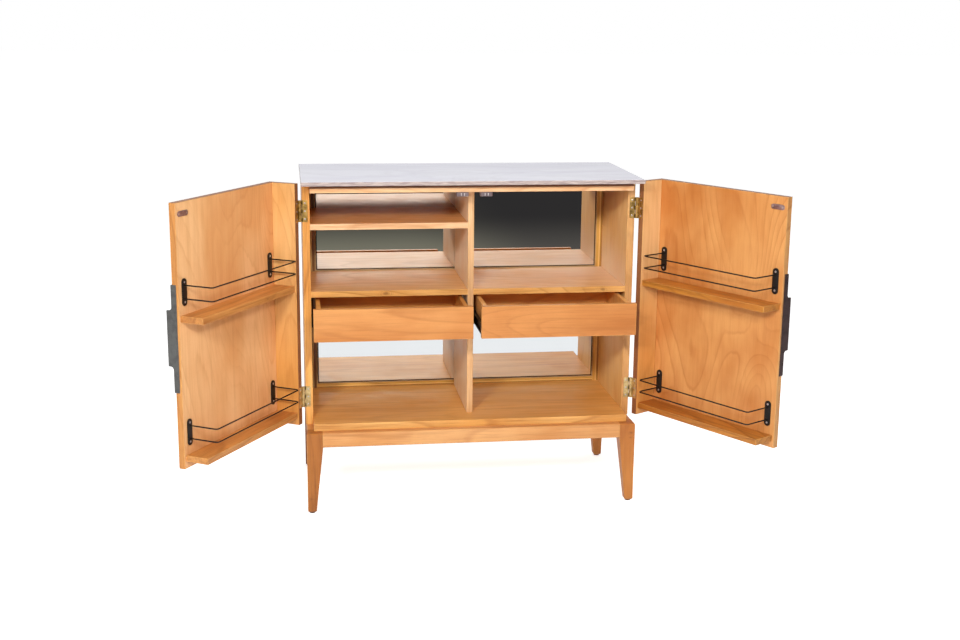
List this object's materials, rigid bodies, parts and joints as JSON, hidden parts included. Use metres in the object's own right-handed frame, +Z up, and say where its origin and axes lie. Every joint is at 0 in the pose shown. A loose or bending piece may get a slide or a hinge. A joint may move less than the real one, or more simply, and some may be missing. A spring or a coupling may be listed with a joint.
{
  "type": "bar cabinet",
  "caption": "Bar cabinet on a tapered-leg base: stone top, mirrored bays, drawers, and deep box doors that fold out on hinges and carry bottle shelves with wire rails.",
  "frame": {"origin": "on the floor, at the middle of the box round the cabinet with its doors folded out and its drawers drawn out as in the picture", "axes": "+X to the right seen from the front, +Y to the back, +Z up"},
  "size_m": [1.7346, 0.7902, 1],
  "materials": {
    "upright_veneer": "satin honey beech veneer, grain upright",
    "level_veneer": "satin honey beech veneer, grain across the cabinet",
    "drawer_veneer": "satin honey beech veneer, grain across the drawer",
    "trim_wood": "satin golden hardwood trim",
    "base_wood": "satin solid hardwood",
    "drawer_wood": "satin hardwood and plywood, inside the drawers",
    "back_board": "plain plywood",
    "stone": "polished pale grey stone with soft veins",
    "mirror": "silvered glass",
    "brass": "antique brass",
    "black_steel": "satin black",
    "pull_metal": "satin dark bronze grey",
    "catch_plastic": "satin pale grey",
    "bright_steel": "bright screws and strike plates",
    "glide_plastic": "matt dark brown"
  },
  "bodies": {
    "cabinet": {"stone_top": "stone", "top_board": "level_veneer", "bottom_board": "level_veneer", "left_side_panel": "upright_veneer", "right_side_panel": "upright_veneer", "centre_divider": "upright_veneer", "upper_left_shelf": "level_veneer", "left_mid_shelf": "level_veneer", "right_mid_shelf": "level_veneer", "back_panel": "back_board", "lower_mirror": "mirror", "upper_mirror": "mirror", "left_mirror_stile": "trim_wood", "right_mirror_stile": "trim_wood", "mirror_bottom_rail": "trim_wood", "mirror_top_rail": "trim_wood", "front_apron": "base_wood", "back_apron": "base_wood", "left_side_apron": "base_wood", "right_side_apron": "base_wood", "left_front_leg": "base_wood", "right_front_leg": "base_wood", "left_back_leg": "base_wood", "right_back_leg": "base_wood", "left_magnetic_catch": "catch_plastic", "right_magnetic_catch": "catch_plastic", "left_lower_carcass_hinge_leaf": "brass", "left_upper_carcass_hinge_leaf": "brass", "right_lower_carcass_hinge_leaf": "brass", "right_upper_carcass_hinge_leaf": "brass", "left_bay_outer_runner": "black_steel", "left_bay_inner_runner": "black_steel", "right_bay_outer_runner": "black_steel", "right_bay_inner_runner": "black_steel"},
    "left_door": {"left_door_front_panel": "upright_veneer", "left_door_return_panel": "upright_veneer", "left_door_pull": "pull_metal", "left_door_lower_shelf": "level_veneer", "left_door_upper_shelf": "level_veneer", "left_door_lower_rail": "black_steel", "left_door_upper_rail": "black_steel", "left_door_lower_hinge_leaf": "brass", "left_door_upper_hinge_leaf": "brass"},
    "right_door": {"right_door_front_panel": "upright_veneer", "right_door_return_panel": "upright_veneer", "right_door_pull": "pull_metal", "right_door_lower_shelf": "level_veneer", "right_door_upper_shelf": "level_veneer", "right_door_lower_rail": "black_steel", "right_door_upper_rail": "black_steel", "right_door_lower_hinge_leaf": "brass", "right_door_upper_hinge_leaf": "brass"},
    "left_drawer": {"left_drawer_front": "drawer_veneer", "left_drawer_box": "drawer_wood", "left_drawer_outer_slide": "black_steel", "left_drawer_inner_slide": "black_steel"},
    "right_drawer": {"right_drawer_front": "drawer_veneer", "right_drawer_box": "drawer_wood", "right_drawer_outer_slide": "black_steel", "right_drawer_inner_slide": "black_steel"}
  },
  "joints": [
    {"name": "left_door_hinge", "type": "hinge", "parent": "cabinet", "child": "left_door", "pos_m": [-0.5065, 0.02814, 0], "axis": [0, 0, -1], "range_deg": [-121, 59]},
    {"name": "right_door_hinge", "type": "hinge", "parent": "cabinet", "child": "right_door", "pos_m": [0.5065, 0.02814, 0], "axis": [0, 0, 1], "range_deg": [-121, 59]},
    {"name": "left_drawer_slide", "type": "slide", "parent": "cabinet", "child": "left_drawer", "axis": [0, -1, 0], "range_m": [-0.161, 0.0785]},
    {"name": "right_drawer_slide", "type": "slide", "parent": "cabinet", "child": "right_drawer", "axis": [0, -1, 0], "range_m": [-0.161, 0.0785]}
  ],
  "couplings": [
    {"joint": "left_drawer_slide", "follows": "left_door_hinge", "m_per_rad": 0.07623},
    {"joint": "right_drawer_slide", "follows": "right_door_hinge", "m_per_rad": 0.07623}
  ]
}
